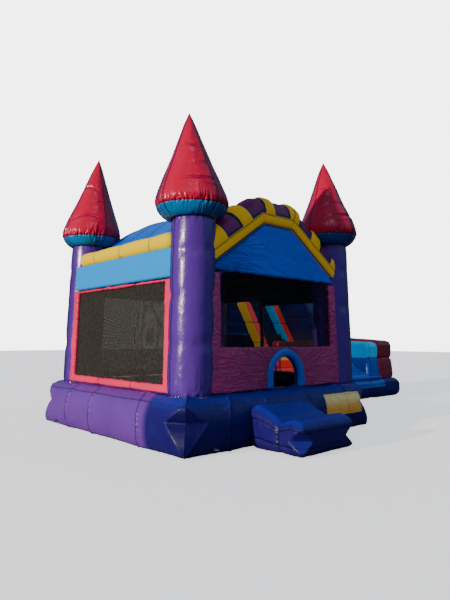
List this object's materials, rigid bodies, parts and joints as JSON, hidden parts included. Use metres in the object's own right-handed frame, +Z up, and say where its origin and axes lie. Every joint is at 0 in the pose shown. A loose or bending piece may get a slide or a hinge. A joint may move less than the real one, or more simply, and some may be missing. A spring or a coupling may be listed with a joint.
{
  "type": "inflatable bounce house with slide",
  "caption": "Castle-shaped inflatable bounce house with corner towers, netted windows, a crawl-in entrance, a climb-and-slide lane and its electric blower.",
  "frame": {"origin": "on the ground at the centre of the square jumping house, under the middle of its floor", "axes": "+Z up; the entrance faces -Y; the climb-and-slide lane stands at the house's +X side; lengths in metres"},
  "size_m": [8.9997, 6.305, 4.75],
  "materials": {
    "vinyl_purple": "glossy PVC-coated vinyl, purple",
    "vinyl_red": "glossy vinyl, crimson red",
    "vinyl_blue": "glossy vinyl, mid blue",
    "vinyl_light_blue": "glossy vinyl, light blue",
    "vinyl_yellow": "glossy vinyl, golden yellow",
    "vinyl_coral": "glossy vinyl, coral red",
    "vinyl_plum": "glossy vinyl, plum",
    "safety_mesh": "fine black polyester netting",
    "printed_patch": "plain cream and gold patch, no lettering",
    "plated_steel": "zinc plated steel",
    "webbing": "black nylon webbing",
    "blower_plastic": "orange rotomoulded plastic",
    "dark_plastic": "black plastic",
    "sleeve_fabric": "navy coated fabric"
  },
  "bodies": {
    "inflatable": {"air_sleeve": "sleeve_fabric", "anchor_tab_back": "webbing", "anchor_tab_front": "webbing", "anchor_tab_left": "webbing", "arch_back": "vinyl_yellow", "arch_front": "vinyl_yellow", "band_left": "vinyl_light_blue", "band_right": "vinyl_light_blue", "base_back": "vinyl_purple", "base_front": "vinyl_purple", "base_left": "vinyl_purple", "base_right": "vinyl_purple", "beam_left": "vinyl_yellow", "beam_right": "vinyl_yellow", "blower_guard": "plated_steel", "blower_housing": "blower_plastic", "blower_motor": "dark_plastic", "climb_bolster_left": "vinyl_yellow", "climb_bolster_right": "vinyl_light_blue", "climb_ramp": "vinyl_blue", "column_bl": "vinyl_purple", "column_br": "vinyl_purple", "column_fl": "vinyl_purple", "column_fr": "vinyl_purple", "deck": "vinyl_blue", "deck_guard": "vinyl_blue", "door_border": "vinyl_blue", "door_roll": "vinyl_purple", "entry_step": "vinyl_purple", "front_panel": "vinyl_plum", "gable_back": "vinyl_blue", "gable_front": "vinyl_blue", "info_patch": "printed_patch", "jump_floor": "vinyl_blue", "lane_base": "vinyl_purple", "lane_divider": "vinyl_blue", "lane_front_wall": "vinyl_red", "netting_back": "safety_mesh", "netting_front": "safety_mesh", "netting_left": "safety_mesh", "netting_right": "safety_mesh", "roof_vault": "vinyl_light_blue", "sleeve_strap": "webbing", "slide_bed": "vinyl_light_blue", "slide_wall_inner": "vinyl_blue", "slide_wall_outer": "vinyl_red", "spire_bl": "vinyl_red", "spire_br": "vinyl_red", "spire_fl": "vinyl_red", "spire_fr": "vinyl_red", "window_frame_back": "vinyl_coral", "window_frame_left": "vinyl_coral", "window_frame_right": "vinyl_coral", "zip_track": "webbing"},
    "impeller": {"blower_impeller": "dark_plastic"},
    "switch": {"blower_switch": "vinyl_red"},
    "zip_pull": {"zip_slider": "plated_steel"},
    "ring_front": {"anchor_ring_front": "plated_steel"},
    "ring_left": {"anchor_ring_left": "plated_steel"},
    "ring_back": {"anchor_ring_back": "plated_steel"}
  },
  "joints": [
    {"name": "impeller_spin", "type": "hinge", "parent": "inflatable", "child": "impeller", "pos_m": [-0.8, 3.12, 0.33], "axis": [1, 0, 0], "continuous": true},
    {"name": "switch_rock", "type": "hinge", "parent": "inflatable", "child": "switch", "pos_m": [-0.657, 3.12, 0.432], "axis": [0, 1, 0], "range_deg": [-16, 0]},
    {"name": "zip_slide", "type": "slide", "parent": "inflatable", "child": "zip_pull", "axis": [1, 0, 0], "range_m": [0, 0.55]},
    {"name": "ring_front_swing", "type": "hinge", "parent": "inflatable", "child": "ring_front", "pos_m": [-1.55, -2.057, 0.075], "axis": [1, 0, 0], "range_deg": [-75, 75]},
    {"name": "ring_left_swing", "type": "hinge", "parent": "inflatable", "child": "ring_left", "pos_m": [-2.057, 1.45, 0.075], "axis": [0, 1, 0], "range_deg": [-75, 75]},
    {"name": "ring_back_swing", "type": "hinge", "parent": "inflatable", "child": "ring_back", "pos_m": [1.6, 2.057, 0.075], "axis": [1, 0, 0], "range_deg": [-75, 75]}
  ]
}
